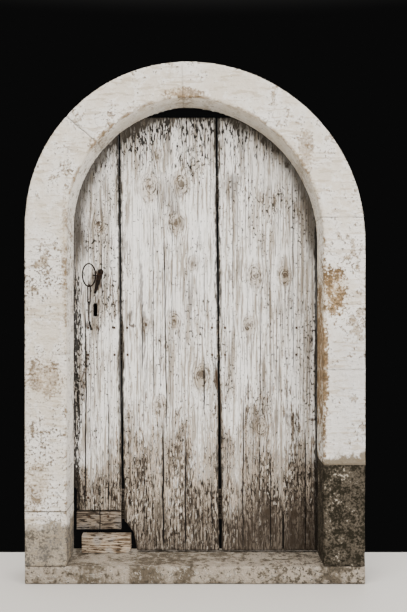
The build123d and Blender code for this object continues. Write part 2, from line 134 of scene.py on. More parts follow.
# Places where the limewash has come off: X, height above the sill, half width, half height, strength
BARE_PATCHES = [(-0.570, 0.705, 0.075, 0.080, 0.55), (0.530, 1.030, 0.052, 0.105, 1.0),
                (0.488, 0.800, 0.018, 0.340, 0.95), (-0.350, 1.600, 0.050, 0.045, 0.60),
                (-0.050, 1.790, 0.080, 0.022, 0.70), (0.420, 1.560, 0.030, 0.090, 0.45),
                (-0.492, 1.150, 0.014, 0.260, 0.45), (-0.600, 0.300, 0.060, 0.100, 0.40)]

# Room in the left springing stone for the end of the lock's bolt, and round the keeper's plate
BOLT_POCKET = ((-0.5495, 0.0995, 1.0685), (-0.5100, 0.1125, 1.0915))
POCKET_PLAY = 0.0004

STONES = ("base_left", "jamb_left", "springer_left", "arch_left", "arch_right", "jamb_right_upper",
          "jamb_right_lower", "base_right")

# Joints between the stones: side, a point in X and height, the joint's normal in X and Z, faintness
JOINTS = [(-1, -0.5, 0.205, 0, 1, 0.0), (-1, -0.5, 0.799, 0, 1, 0.0015),
          (-1, LEFT_CENTRE, LEFT_SPRING, math.sin(HAUNCH_ANGLE), -math.cos(HAUNCH_ANGLE), 0.0010),
          (1, CROWN_X, LEFT_SPRING, 1, 0, 0.0022), (1, 0.5, 1.320, 0, 1, 0.0008),
          (1, 0.5, 0.742, 0, 1, 0.0015), (1, 0.5, 0.383, 0, 1, 0.0010),
          (-1, -0.5, 0.0, 0, 1, 0.0010), (1, 0.5, 0.0, 0, 1, 0.0010)]


def hashed(ix, iy, iz, seed):
    """A repeatable pseudo-random number from 0 to 1 for each lattice point."""
    h = (ix * 374761393 + iy * 668265263 + iz * 2147483647 + seed * 974711) & 0xFFFFFFFF
    h = ((h ^ (h >> 13)) * 1274126177) & 0xFFFFFFFF
    return ((h ^ (h >> 16)) & 0xFFFF) / 65535.0


def value_noise(x, y, z, seed=0):
    """Smooth noise from -1 to 1 at points given as three arrays."""
    fx, fy, fz = np.floor(x), np.floor(y), np.floor(z)
    ix, iy, iz = fx.astype(np.int64), fy.astype(np.int64), fz.astype(np.int64)
    tx, ty, tz = x - fx, y - fy, z - fz
    tx, ty, tz = (t * t * (3 - 2 * t) for t in (tx, ty, tz))
    total = 0
    for dx in (0, 1):
        for dy in (0, 1):
            for dz in (0, 1):
                weight = ((tx if dx else 1 - tx) * (ty if dy else 1 - ty) * (tz if dz else 1 - tz))
                total = total + weight * hashed(ix + dx, iy + dy, iz + dz, seed)
    return total * 2 - 1


def layered(x, y, z, seed=0, layers=4):
    """Noise from about -1 to 1 in layers, each half the size and half the strength of the last."""
    total, size = 0, 1.0
    for layer in range(layers):
        total = total + value_noise(x * 2 ** layer, y * 2 ** layer, z * 2 ** layer, seed + layer) * size
        size *= 0.5
    return total / 1.9


def smooth(low, high, value):
    """0 at low, 1 at high, eased between; low may be the larger."""
    t = np.clip((value - low) / (high - low), 0, 1)
    return t * t * (3 - 2 * t)


class Value:
    """A number or colour that a node gives. Arithmetic on it adds Math nodes."""

    def __init__(self, shader, socket):
        self.shader, self.socket = shader, socket

    def apply(self, operation, *others, clamp=False):
        inputs = {i: other for i, other in enumerate((self, *others))}
        return self.shader.node("ShaderNodeMath", {"operation": operation, "use_clamp": clamp}, inputs)

    def __add__(self, other):
        return self.apply("ADD", other)

    __radd__ = __add__

    def __sub__(self, other):
        return self.apply("SUBTRACT", other)

    def __rsub__(self, other):
        return self.apply("MULTIPLY_ADD", -1.0, other)

    def __mul__(self, other):
        return self.apply("MULTIPLY", other)

    def __truediv__(self, other):
        return self.apply("DIVIDE", other)

    def __abs__(self):
        return self.apply("ABSOLUTE")

    def either(self, other):
        return self.apply("MAXIMUM", other)

    def step(self, low, high):
        """0 below low, 1 above high, smooth between; low may be the larger."""
        settings = {"interpolation_type": "SMOOTHSTEP"}
        ends = (0.0, 1.0) if low < high else (1.0, 0.0)
        sockets = {"Value": self, "From Min": min(low, high), "From Max": max(low, high),
                   "To Min": ends[0], "To Max": ends[1]}
        return self.shader.node("ShaderNodeMapRange", settings, sockets)


class Shader:
    """One surface finish, built node by node."""

    def __init__(self, name, roughness=0.85):
        self.material = bpy.data.materials.new(name)
        self.material.use_nodes = True
        self.tree = self.material.node_tree
        self.surface = self.tree.nodes["Principled BSDF"]
        self.surface.inputs["Roughness"].default_value = roughness
        self.surface.inputs["Specular IOR Level"].default_value = 0.12
        self.place = self.node("ShaderNodeTexCoord", output="Object")
        parts = self.make("ShaderNodeSeparateXYZ", {}, {"Vector": self.place})
        self.x, self.y, self.z = (Value(self, out) for out in parts.outputs)

    def make(self, kind, settings, inputs):
        """Adds a node with its settings, and its inputs set or linked."""
        made = self.tree.nodes.new(kind)
        for key, value in settings.items():
            setattr(made, key, value)
        for key, value in inputs.items():
            socket = made.inputs[key]
            if isinstance(value, Value):
                self.tree.links.new(value.socket, socket)
            else:
                socket.default_value = value
        return made

    def node(self, kind, settings=None, inputs=None, output=0):
        return Value(self, self.make(kind, settings or {}, inputs or {}).outputs[output])

    def noise(self, scale, stretch=(1, 1, 1), detail=5.0, roughness=0.6, offset=(0, 0, 0), place=None):
        moved = self.node("ShaderNodeMapping", {}, {"Vector": place or self.place, "Scale": stretch,
                                                    "Location": offset})
        return self.node("ShaderNodeTexNoise", {}, {"Vector": moved, "Scale": scale, "Detail": detail,
                                                    "Roughness": roughness})

    def ripple(self, scale, stretch=(1, 1, 1), detail=4.0, roughness=0.62, offset=(0, 0, 0), place=None):
        """Noise that swings either side of 0."""
        return (self.noise(scale, stretch, detail, roughness, offset, place) - 0.5) * SWING

    def attribute(self, name):
        return self.node("ShaderNodeAttribute", {"attribute_name": name}, output="Fac")

    def mix(self, amount, first, second):
        """The first colour where the amount is 0, the second where it is 1."""
        def colour(value):
            return value if isinstance(value, Value) else (*value, 1.0)
        return self.node("ShaderNodeMix", {"data_type": "RGBA"},
                         {0: amount, 6: colour(first), 7: colour(second)}, 2)

    def finish(self, colour, roughness, height, depth):
        """Links colour, roughness and a bump of the given depth in metres to the surface."""
        self.tree.links.new(colour.socket, self.surface.inputs["Base Color"])
        self.tree.links.new(roughness.socket, self.surface.inputs["Roughness"])
        bump = self.node("ShaderNodeBump", {}, {"Height": height, "Distance": depth, "Strength": 1.0})
        self.tree.links.new(bump.socket, self.surface.inputs["Normal"])
        return self.material


def crack_lines(shader, plank):
    """Mask of the long drying cracks of one plank, following the grain."""
    drift = shader.noise(1.0, (0.3, 0.3, 5.0), 3.0, 0.6) - 0.5
    break_up = shader.noise(1.0, (40, 40, 14), 3.0, 0.6)
    mask = None
    for name, foot, lean, low, high, half, wander in CRACKS:
        if name != plank:
            continue
        line = shader.z * lean + (foot - lean * SILL_TOP) + drift * (wander * 2.5)
        near = abs(shader.x - line).step(half * 1.7, half * 0.4)
        reach = (shader.z.step(SILL_TOP + low - 0.02, SILL_TOP + low + 0.04)
                 * shader.z.step(SILL_TOP + high + 0.02, SILL_TOP + high - 0.08))
        part = near * reach * break_up.step(0.28, 0.42)
        mask = part if mask is None else mask.either(part)
    return mask


def painted_planks(plank):
    """White paint worn off grey timber: streaks with the grain, knots, cracks and flakes."""
    s = Shader("painted_" + plank)
    flow, knot = s.attribute("flow"), s.attribute("knot")
    edge, rim = s.attribute("edge"), s.attribute("rim")
    rise = s.z - SILL_TOP
    grain_place = s.node("ShaderNodeCombineXYZ", {}, {"X": flow, "Y": s.y, "Z": s.z})

    def along(across, lengthwise, offset, detail=4.0):
        """Noise drawn out along the grain, so many waves a metre across and along it."""
        return s.ripple(1.0, (across, 30, lengthwise), detail, 0.62, offset, grain_place)

    dashes = along(150, 24, (0, 0, 0))
    flecks = along(170, 40, (7, 1, 3))
    streaks = along(95, 4.5, (3, 0, 9))
    lines = along(190, 3.2, (2, 5, 1), 3.0)
    broad = along(22, 2.0, (5, 5, 5))
    specks = along(120, 75, (8, 1, 6), 2.0)
    patchy = s.ripple(1.0, (8, 8, 3.6), 4.0, 0.6)

    # Timber laid bare: streaks of dark and light, darkest at the foot
    wood = s.mix((dashes + streaks * 0.5).step(-0.14, 0.18), (0.013, 0.010, 0.007), (0.48, 0.40, 0.32))
    wood = s.mix((broad + patchy * 0.6).step(0.0, 0.22) * 0.55, wood, (0.055, 0.042, 0.031))
    wood = s.mix((flecks + broad * 0.3).step(0.12, 0.22) * 0.85, wood, (0.74, 0.68, 0.60))
    wood = s.mix(flecks.step(-0.10, -0.19) * 0.9, wood, ROT_BLACK)
    # Paint: whole in the middle, greyed along the grain
    paint = s.mix((streaks + dashes * 0.5 + broad * 0.3).step(-0.20, 0.06), (0.38, 0.335, 0.28),
                  (0.87, 0.85, 0.82))
    paint = s.mix(patchy.step(0.06, 0.30) * 0.45, paint, (0.62, 0.56, 0.48))
    paint = s.mix(broad.step(0.05, 0.20) * 0.6, paint, (0.93, 0.92, 0.905))

    # Where the paint is gone: low down, least in the middle of the door
    sheltered = abs(s.x - 0.03).step(0.27, 0.48) * 0.20
    ruined = (rise.step(0.80, 0.10) * 0.84 - sheltered + patchy * 1.1 + broad * 0.6 + dashes * 0.8
              + streaks * 1.1)
    bare = ruined.step(0.28, 0.44)
    colour = s.mix(bare, paint, wood)
    furrows = (lines + patchy * 0.3 + dashes * 0.25).step(0.05, 0.20)
    colour = s.mix(furrows * 0.70, colour, (0.115, 0.090, 0.066))
    colour = s.mix((specks + patchy * 0.4).step(0.20, 0.26) * 0.92, colour, (0.020, 0.015, 0.011))
    # Black flakes near the head, where water runs off the arch
    wet = rise.step(1.42, 1.70) * 0.24 + rim.step(0.16, 0.0) * rise.step(1.20, 1.6) * 0.14
    flakes = (along(125, 30, (3, 0, 7)) + wet + patchy * 0.30).step(0.29, 0.33)
    colour = s.mix(flakes * 0.96, colour, (0.007, 0.006, 0.005))
    # Knots: broken arcs of brown round a dark heart
    arc_place = s.node("ShaderNodeCombineXYZ", {}, {"X": knot * 5.5, "Y": s.x * 30, "Z": s.z * 42})
    arcs = s.ripple(1.0, (1, 1, 1), 3.0, 0.6, place=arc_place)
    knot_zone = (knot + patchy * 0.9 + dashes * 1.5).step(2.1, 0.9)
    colour = s.mix(knot_zone * 0.50, colour, (0.40, 0.33, 0.25))
    broken_arcs = (arcs * 0.8 + flecks * 0.9).step(0.05, 0.14)
    colour = s.mix(knot_zone * broken_arcs * 0.92, colour, (0.060, 0.043, 0.028))
    colour = s.mix((knot + dashes * 1.5).step(0.45, 0.15) * 0.8, colour, (0.085, 0.062, 0.042))
    # Grime mixed with painted shade under the arch, painted shade along the joints, dirt at the foot
    # Painted shade under the arch's reveal, mixed with grime
    under = rim.step(0.120, 0.0) * rise.step(0.85, 1.30)
    grime_and_shade = (under + patchy * 0.6 + dashes * 0.5).step(0.20, 0.80) * under.step(0.0, 0.12)
    colour = s.mix(grime_and_shade * 0.9, colour, (0.055, 0.046, 0.036))
    # Painted shade along the plank edges, where the joints are
    seam = (edge + dashes * 0.022 + patchy * 0.016).step(0.008, 0.001)
    colour = s.mix(seam * 0.9, colour, (0.014, 0.011, 0.008))
    smear = (along(26, 6, (11, 2, 5)) + rise.step(1.1, 1.45) * 0.04).step(0.16, 0.34)
    colour = s.mix(smear * 0.6, colour, (0.19, 0.16, 0.125))
    for px, pz, wide, tall, strength in STAINS:
        away = ((s.x - px) / wide).apply("POWER", 2.0) + ((rise - pz) / tall).apply("POWER", 2.0)
        stain = (away * -0.35 + dashes * 0.9 + flecks * 0.6).step(-0.42, -0.05) * strength
        colour = s.mix(stain, colour, (0.062, 0.042, 0.027))
    foot_stain = (rise.step(0.30, 0.0) * 0.46 + s.x.step(0.05, 0.20) * rise.step(0.30, 0.12) * 0.34
                  + patchy * 0.5).apply("ADD", 0.0, clamp=True)
    colour = s.mix(foot_stain * rise.step(0.42, 0.25), colour, (0.042, 0.031, 0.022))
    if plank == "left":  # rotten fibres along the free edge
        fibre = (s.x + OPENING_HALF).step(0.050, 0.0) * rise.step(1.22, 1.05) * 0.45
        rotten = (fibre + flecks * 0.9 + streaks * 0.8 + dashes * 0.5).step(0.30, 0.38)
        colour = s.mix(rotten * 0.95, colour, ROT_BLACK)
    if plank == "right":  # the dark line where the board meets the reveal
        # Painted shadow where the board meets the reveal
        shadow = (s.x + dashes * 0.012).step(0.473, 0.479)
        colour = s.mix(shadow * 0.92, colour, (0.010, 0.008, 0.006))
    cracks = crack_lines(s, plank)
    colour = s.mix(cracks, colour, GAP_BLACK)
    height = (dashes * 0.8 + streaks * 0.8 + bare * -0.5 + flakes * -0.8 + furrows * -0.5
              + cracks * -2.6 + knot_zone * arcs * 1.0)
    return s.finish(colour, 0.90 - dashes * 0.2, height, 0.0016)


def bare_timber(name, dark, light, along, split=None):
    """Weathered bare wood, its noise stretched by the three numbers of along; split is a crack's X."""
    s = Shader(name)
    fine = s.ripple(1.0, along, 5.0, 0.65)
    patchy = s.ripple(14.0, (1, 1, 1), 4.0, 0.6)
    pits = s.ripple(1.0, tuple(v * 0.5 + 22 for v in along), 3.0, 0.6, (5, 1, 2))
    colour = s.mix((fine + patchy * 0.4).step(-0.17, 0.10), dark, light)
    grey = sum(light) / 3
    colour = s.mix(patchy.step(0.0, 0.2) * 0.7, colour, (grey * 0.72, grey * 0.68, grey * 0.64))
    stained = pits.step(0.08, 0.15)
    colour = s.mix(stained * 0.9, colour, tuple(v * 0.35 for v in dark))
    if split:
        gap = abs(s.x - split + patchy * 0.006).step(0.0032, 0.0012)
        colour = s.mix(gap * 0.95, colour, GAP_BLACK)
    return s.finish(colour, 0.92 - fine * 0.1, fine * 1.2 - stained, 0.0022)


def limewashed_stone(name, bared=False):
    """Layers of limewash over stone: brush ridges, specks, ochre arrises, damp and moss below."""
    s = Shader(name, 0.92)
    rise = s.z - SILL_TOP
    cloudy = s.ripple(5.5, (1, 1, 1), 5.0, 0.62)
    medium = s.ripple(28.0, (1, 1, 1), 5.0, 0.65, (4, 4, 4))
    fine = s.ripple(105.0, (1, 1, 1), 4.0, 0.65, (9, 1, 3))
    ridges = s.ripple(1.0, (14, 14, 75), 4.0, 0.62, (6, 2, 8))
    ochre = s.mix(fine.step(-0.12, 0.12), (0.27, 0.165, 0.075), (0.58, 0.44, 0.27))

    lime = s.mix(cloudy.step(-0.16, 0.14), (0.71, 0.645, 0.545), (0.86, 0.825, 0.77))
    lime = s.mix(medium.step(0.0, 0.20) * 0.6, lime, (0.92, 0.895, 0.85))
    lime = s.mix(s.x.step(0.40, 0.60) * rise.step(1.0, 0.8) * 0.6, lime, (0.66, 0.655, 0.65))
    # Darker bands along the brush ridges: painted shade of their relief
    lime = s.mix(ridges.step(0.09, 0.17) * 0.55, lime, (0.47, 0.38, 0.27))
    scuffs = (medium + cloudy * 0.8 + fine * 0.4).step(0.17, 0.24)
    lime = s.mix(scuffs * 0.65, lime, (0.38, 0.285, 0.18))
    pitted = s.x.step(-0.42, -0.50) * rise.step(1.25, 1.05) * 0.085
    specks = (fine + medium * 0.35 + cloudy * 0.35 + pitted).step(0.20, 0.26)
    lime = s.mix(specks * 0.85, lime, (0.15, 0.115, 0.08))
    level_line = abs(s.noise(8.0, (1, 1, 1), 3.0, 0.55, (7, 7, 1)) - 0.5)
    hairs = level_line.step(0.005, 0.001) * cloudy.step(0.02, 0.10)
    lime = s.mix(hairs * 0.8, lime, (0.14, 0.10, 0.06))

    arris = s.attribute("arris")
    worn = (arris.step(0.017, 0.0) * 0.34 + medium * 0.8 + cloudy * 0.7).step(0.28, 0.46)
    colour = s.mix(worn * 0.75, lime, ochre)
    broken = (medium + cloudy * 0.5 + fine * 0.5 + rise.step(1.30, 1.50) * 0.16).step(-0.02, 0.18)
    line = arris.step(0.015, 0.007) * broken
    colour = s.mix(line * 0.7, colour, (0.31, 0.225, 0.135))
    for px, pz, wide, tall, strength in BARE_PATCHES:
        away = (((s.x - px) / wide).apply("POWER", 2.0)
                + ((s.z - (SILL_TOP + pz)) / tall).apply("POWER", 2.0))
        zone = (away * -0.30 + medium * 0.8 + fine * 0.7 + cloudy * 0.3).step(-0.36, -0.12) * strength
        colour = s.mix(zone, colour, ochre)
        speckled = (fine + medium * 0.5).step(-0.07, 0.09)
        colour = s.mix(zone * speckled * 0.88, colour, (0.095, 0.062, 0.034))
    # The reveal: painted shade under the arch, painted light down the left side
    soffit_shade = s.y.step(-0.118, -0.02) * 0.45 * rise.step(1.30, 1.55)
    colour = s.mix(soffit_shade, colour, (0.50, 0.46, 0.39))
    left_reveal = s.y.step(-0.124, -0.100) * s.x.step(-0.30, -0.46)
    lit = left_reveal * rise.step(0.10, 0.45) * (fine + medium).step(0.14, 0.02)
    colour = s.mix(lit * 0.85, colour, (0.97, 0.93, 0.86))

    dirt = s.mix((medium + fine * 1.2).step(-0.20, 0.24), (0.040, 0.032, 0.022), (0.40, 0.335, 0.25))
    if bared:
        pale = (abs(s.x - 0.535).step(0.060, 0.0) * 0.12 + rise.step(0.10, 0.30) * 0.06 + medium * 0.8
                + fine).step(0.33, 0.50)
        colour = s.mix(pale, s.mix(0.80, dirt, (0.014, 0.011, 0.007)), (0.56, 0.50, 0.41))
        moss = (fine + medium * 0.6).step(-0.02, -0.14)
        colour = s.mix(moss * 0.8, colour, (0.016, 0.014, 0.008))
    else:
        left_base = s.x.step(-0.40, -0.50) * rise.step(0.190, 0.06) * 0.95
        damp = (rise.step(0.42, 0.05) * 0.22 + left_base + cloudy * 0.6 + medium * 0.7).step(0.22, 0.50)
        colour = s.mix(damp * 0.88, colour, dirt)
        fringe = (s.x.step(0.40, 0.45) * (rise + medium * 0.12 + cloudy * 0.10).step(0.415, 0.385))
        colour = s.mix(fringe * 0.9, colour, (0.15, 0.115, 0.07))
    seam = s.attribute("seam")
    open_part = (cloudy + medium * 0.6 + s.x.step(-0.2, -0.3) * 0.25).step(-0.16, 0.06)
    joint = (seam + fine * 0.004).step(0.0040, 0.0015) * open_part
    colour = s.mix(joint * 0.8, colour, (0.10, 0.075, 0.048))
    height = (medium * 1.6 + fine * 0.7 + cloudy * 0.9 + ridges * 0.9 - specks * 0.8 - joint * 0.8
              - worn * 0.4 - scuffs * 0.4)
    return s.finish(colour, 0.95 - fine * 0.1, height, 0.0042)


def pale_threshold():
    """Trodden mortar and stone of the threshold, gritty towards the right."""
    s = Shader("threshold_stone")
    cloudy = s.ripple(7.0, (1, 1, 1), 5.0, 0.62)
    medium = s.ripple(40.0, (1, 1, 1), 5.0, 0.68)
    fine = s.ripple(120.0, (1, 1, 1), 4.0, 0.65, (3, 3, 3))
    grit = s.x.step(0.05, 0.40) * 0.07
    colour = s.mix((cloudy + medium * 0.5).step(-0.16, 0.16), (0.13, 0.105, 0.075), (0.38, 0.325, 0.26))
    colour = s.mix((medium * 0.5 + fine + grit * 0.4).step(0.12, 0.24) * 0.85, colour, (0.74, 0.69, 0.61))
    dark = (medium - fine * 0.7 - grit * 1.6).step(-0.10, -0.24)
    colour = s.mix(dark * 0.85, colour, (0.075, 0.062, 0.045))
    colour = s.mix((fine + medium * 0.3 + grit).step(0.17, 0.25) * 0.85, colour, (0.040, 0.033, 0.024))
    return s.finish(colour, 0.95 - fine * 0.1, medium + fine * 0.8 + cloudy, 0.006)


def forged_iron():
    """Near-black iron, dull, with a little rust."""
    s = Shader("forged_iron", 0.6)
    s.surface.inputs["Metallic"].default_value = 0.15
    pitted = s.noise(260.0, (1, 1, 1), 5.0, 0.7)
    rusty = s.noise(60.0, (1, 1, 1), 5.0, 0.65, (3, 3, 3))
    colour = s.mix(pitted.step(0.35, 0.65), (0.004, 0.003, 0.003), (0.016, 0.012, 0.009))
    colour = s.mix(rusty.step(0.52, 0.66) * 0.6, colour, (0.055, 0.026, 0.013))
    return s.finish(colour, 0.75 + rusty * 0.25, pitted + rusty * 0.5, 0.0012)


def mesh_object(name, points, faces):
    """An object in the scene, made from points and faces."""
    mesh = bpy.data.meshes.new(name)
    mesh.from_pydata(points, [], faces)
    mesh.update()
    piece = bpy.data.objects.new(name, mesh)
    bpy.context.scene.collection.objects.link(piece)
    return piece


def declare(piece, body, node):
    """Sets what the piece rides on, and hides the CAD node that it replaces."""
    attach(piece, body)
    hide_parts(node)


def set_attribute(mesh, name, values):
    """Stores one number a vertex, for the shaders to read."""
    layer = mesh.attributes.new(name, "FLOAT", "POINT")
    layer.data.foreach_set("value", np.asarray(values, dtype=np.float32))


def arch_half_width(rise, side):
    """Half width of the leaf's outline at a height above the sill, on one side."""
    if side < 0:
        spring, centre, radius = LEFT_SPRING, LEFT_CENTRE, LEAF_HALF
    else:
        spring, centre, radius = RIGHT_SPRING, RIGHT_CENTRE, RIGHT_LEAF_RADIUS
    if rise <= spring:
        return LEAF_HALF
    return math.sqrt(max(radius ** 2 - (rise - spring) ** 2, 0.0)) + side * centre


def outline_distances(x, rise, half, right_radius):
    """How far inside an arched outline points are, measured from its left and from its right side."""
    left = np.where(rise > LEFT_SPRING, half - np.hypot(x - LEFT_CENTRE, rise - LEFT_SPRING), half + x)
    right = np.where(rise > RIGHT_SPRING, right_radius - np.hypot(x - RIGHT_CENTRE, rise - RIGHT_SPRING),
                     half - x)
    return left, right


def rim_distance(x, rise):
    """Distance of points of the leaf from its outline at the sides and round the arch."""
    return np.minimum(*outline_distances(x, rise, LEAF_HALF, RIGHT_LEAF_RADIUS))


def reveal_distance(x, z):
    """Distance of points of the stones from the reveal's surface."""
    left, right = outline_distances(x, z - SILL_TOP, OPENING_HALF, RIGHT_OPENING_RADIUS)
    return np.abs(np.where(x < CROWN_X, left, right))


def crack_depth(x, rise, plank):
    """Depth of the hollows along the drying cracks of one plank."""
    depth = np.zeros_like(x)
    for name, foot, lean, low, high, half, wander in CRACKS:
        if name != plank:
            continue
        line = foot + lean * rise
        if low > 0.05:
            reach = smooth(low, low + 0.06, rise) * smooth(high, high - 0.08, rise)
        else:
            reach = 1 - smooth(high - 0.08, high, rise)
        depth += 0.0012 * np.exp(-((x - line) / 0.010) ** 2) * np.clip(reach, 0, 1)
    return depth


def plank_mesh(name, left_edge, right_edge, foot, head):
    """A thick board as a closed mesh with grain, hollows round its knots and worn edges."""
    plank = name.split("_")[1]
    rows = int((head - foot) / BOARD_ALONG) + 1
    width = max(right_edge(z) - left_edge(z) for z in np.linspace(foot, head, 40))
    columns = int(width / BOARD_ACROSS) + 1
    v, u = np.meshgrid(np.linspace(0, 1, rows), np.linspace(0, 1, columns), indexing="ij")
    rise = foot + (head - foot) * v
    left = np.array([left_edge(z) for z in rise[:, 0]])[:, None]
    right = np.array([right_edge(z) for z in rise[:, 0]])[:, None]
    # Edges wasted by rot, most at the foot, and a ragged foot
    rot = 1 - smooth(0.10, 0.75, rise)
    loss = 0.0006 + 0.0022 * rot
    left = left + loss * (1 + layered(rise * 40, left * 0 + 3.1, rise * 0, 5))
    right = right - loss * (1 + layered(rise * 40, right * 0 + 7.7, rise * 0, 9))
    x = left + (right - left) * u
    raggedness = 0.003 + 0.0005 * (foot > 0.1)
    ragged = raggedness * (1 + layered(x * 45, x * 0, x * 0 + 2.5, 3)) * (1 - smooth(0, 0.05, v))
    z = SILL_TOP + rise + ragged
    # Relief of the front: grain, cracks, rounded edges, and hollows that the grain bends round
    edge = np.minimum(x - left, right - x)
    grain = layered(x * 130, x * 0 + 1.5, rise * 3.0, 21) * 0.0005
    coarse = layered(x * 30, x * 0 + 8.5, rise * 1.6, 31) * 0.0009
    front = grain * (1 + 1.5 * rot) + coarse + crack_depth(x, rise, plank)
    front += 0.0035 * np.exp(-edge / 0.0030) + 0.0007
    knot = np.full_like(x, 9.0)
    flow = x.copy()
    for kx, kz, radius in KNOTS:
        across, along = x - kx, (rise - kz) * 0.72
        away = np.hypot(across, along) / radius
        knot = np.minimum(knot, away)
        flow += across * -0.75 * np.exp(-(away / 1.5) ** 2)
        front += 0.0012 * np.exp(-(away / 0.6) ** 2)
    front = np.maximum(front, 0.0002)
    # Front, back and the four narrow sides as one closed mesh
    back = LEAF_BACK - np.maximum(0.0004 + layered(x * 60, x * 0 + 4, rise * 3, 41) * 0.0004, 0.0001)
    outer = np.stack([x, LEAF_FRONT + front, z], -1).reshape(-1, 3)
    inner = np.stack([x, back, z], -1).reshape(-1, 3)
    count = rows * columns
    index = np.arange(count).reshape(rows, columns)
    a, b, c, d = index[:-1, :-1], index[:-1, 1:], index[1:, 1:], index[1:, :-1]
    face = np.stack([a, b, c, d], -1).reshape(-1, 4)
    faces = [face, face[:, ::-1] + count]
    for rim in (index[0, ::-1], index[-1, :], index[:, 0], index[::-1, -1]):
        faces.append(np.stack([rim[:-1], rim[1:], rim[1:] + count, rim[:-1] + count], -1))
    points = np.concatenate([outer, inner])
    piece = mesh_object("board_" + plank, points.tolist(), np.concatenate(faces).tolist())
    piece.data.materials.append(painted_planks(plank))
    piece.data.shade_smooth()
    declare(piece, "leaf", name)
    for mark, values in (("flow", flow), ("knot", knot), ("edge", edge), ("rim", rim_distance(x, rise))):
        set_attribute(piece.data, mark, np.tile(values.ravel(), 2))
    return piece


def cut(piece, cutter):
    """Takes the cutter's shape out of a piece and removes the cutter."""
    tool = piece.modifiers.new("cut", "BOOLEAN")
    tool.object, tool.solver, tool.operation = cutter, "EXACT", "DIFFERENCE"
    settle(piece)
    bpy.data.objects.remove(cutter)


def settle(piece):
    """Applies a piece's modifiers to its mesh."""
    graph = bpy.context.evaluated_depsgraph_get()
    done = bpy.data.meshes.new_from_object(piece.evaluated_get(graph), preserve_all_data_layers=True,
                                           depsgraph=graph)
    piece.modifiers.clear()
    piece.data = done


def slot_cutter(x, low, high, half, y0, y1):
    """An upright slot with a round head, as a solid to cut with."""
    outline = [(x - half, low), (x + half, low)]
    outline += [(x + half * math.cos(t), high - half + half * math.sin(t))
                for t in np.linspace(0, math.pi, 13)]
    count = len(outline)
    points = [(px, y, pz) for y in (y0, y1) for px, pz in outline]
    faces = [tuple(range(count)), tuple(range(2 * count - 1, count - 1, -1))]
    faces += [(i, i + count, (i + 1) % count + count, (i + 1) % count) for i in range(count)]
    return mesh_object("cutter", points, faces)


def box_cutter(low, high):
    """An upright box between two corners, as a solid to cut with."""
    xs, ys, zs = zip(low, high)
    points = [(x, y, z) for x in xs for y in ys for z in zs]
    faces = [(0, 1, 3, 2), (4, 6, 7, 5), (0, 4, 5, 1), (2, 3, 7, 6), (0, 2, 6, 4), (1, 5, 7, 3)]
    return mesh_object("cutter", points, faces)


def straight(foot_x, head_x):
    """X of a plank's straight edge at a height above the sill."""
    return lambda rise: foot_x + (head_x - foot_x) * rise / LEAF_HEIGHT


def make_planks():
    """The three planks: the left one short at the foot, the middle one with a broken corner."""
    joint_1_left, joint_1_right = straight(-0.292, -0.311), straight(-0.286, -0.305)
    joint_2_left, joint_2_right = straight(0.097, 0.081), straight(0.103, 0.087)
    joint_1_head_x = 0.3095
    left_foot, foot, head = 0.164, 0.004, LEAF_HEAD - SILL_TOP
    left_head = LEFT_SPRING + math.sqrt(LEAF_HALF ** 2 - joint_1_head_x ** 2) - 0.003
    through = (LEAF_FRONT - 0.02, LEAF_BACK + 0.02)

    def outer_left(rise):
        shift = 0.028 * (1 - float(smooth(0.250, 0.270, np.array(rise))))
        return -arch_half_width(rise, -1) + shift

    def middle_left(rise):
        return joint_1_right(rise) + float(np.interp(rise, (0.0, 0.075, 0.125), (0.050, 0.037, 0.0)))

    left = plank_mesh("plank_left", outer_left, joint_1_left, left_foot, left_head)
    cut(left, slot_cutter(-0.401, SILL_TOP + 0.943, SILL_TOP + 0.995, 0.008, *through))
    plank_mesh("plank_middle", middle_left, joint_2_left, foot, head)
    right = plank_mesh("plank_right", joint_2_right, lambda rise: arch_half_width(rise, 1), foot, head)
    cut(right, slot_cutter(0.351, SILL_TOP - 0.02, SILL_TOP + 0.15, 0.0028, *through))


def vectors(items, name):
    """One vector of each vertex or normal, as rows."""
    flat = np.empty(len(items) * 3, np.float32)
    items.foreach_get(name, flat)
    return flat.reshape(-1, 3)


def roughened(node, name, material, cell, rough, body, grain=None):
    """A copy of a solid, divided finely and worn uneven, in place of its node."""
    piece = bpy.data.objects.new(name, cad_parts[node].data.copy())
    bpy.context.scene.collection.objects.link(piece)
    remesh = piece.modifiers.new("remesh", "REMESH")
    remesh.mode, remesh.voxel_size, remesh.use_smooth_shade = "VOXEL", cell, True
    settle(piece)
    mesh = piece.data
    co = vectors(mesh.vertices, "co").astype(float)
    normal = vectors(mesh.vertex_normals, "vector")
    x, y, z = co.T
    seam = z * 0 + 1
    if grain is None:
        relief = layered(x * 9, y * 9, z * 9, 51) * 0.6 + layered(x * 45, y * 45, z * 45, 61) * 0.4
    else:
        relief = layered(x * grain[0], y * grain[1], z * grain[2], 71)
    low, high = (np.array(v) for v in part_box(node))
    worn = rough * (0.75 + relief)
    if node in STONES:
        outward = away_from_opening(x, z)
        across = (normal[:, 0] * outward[0] + normal[:, 2] * outward[1]) * worn
        co -= np.stack([outward[0] * across, normal[:, 1] * worn, outward[1] * across], -1)
        seam = close_joints(co, cell, worn)
    else:
        co -= normal * worn[:, None]
    mesh.vertices.foreach_set("co", np.clip(co, low, high).astype(np.float32).ravel())
    mesh.materials.clear()
    mesh.materials.append(material)
    set_attribute(mesh, "seam", seam)
    set_attribute(mesh, "arris", np.hypot(y - CAD_BOX[0][1], reveal_distance(x, z)))
    mesh.update()
    declare(piece, body, node)
    return piece


def away_from_opening(x, z):
    """Unit vectors in X and Z that point from the opening's middle line out through the stones."""
    rise = z - SILL_TOP
    centre = np.where(x < CROWN_X, LEFT_CENTRE, RIGHT_CENTRE)
    spring = np.where(x < CROWN_X, LEFT_SPRING, RIGHT_SPRING)
    across, up = x - centre, np.maximum(rise - spring, 0)
    reach = np.hypot(across, up)
    return across / reach, up / reach


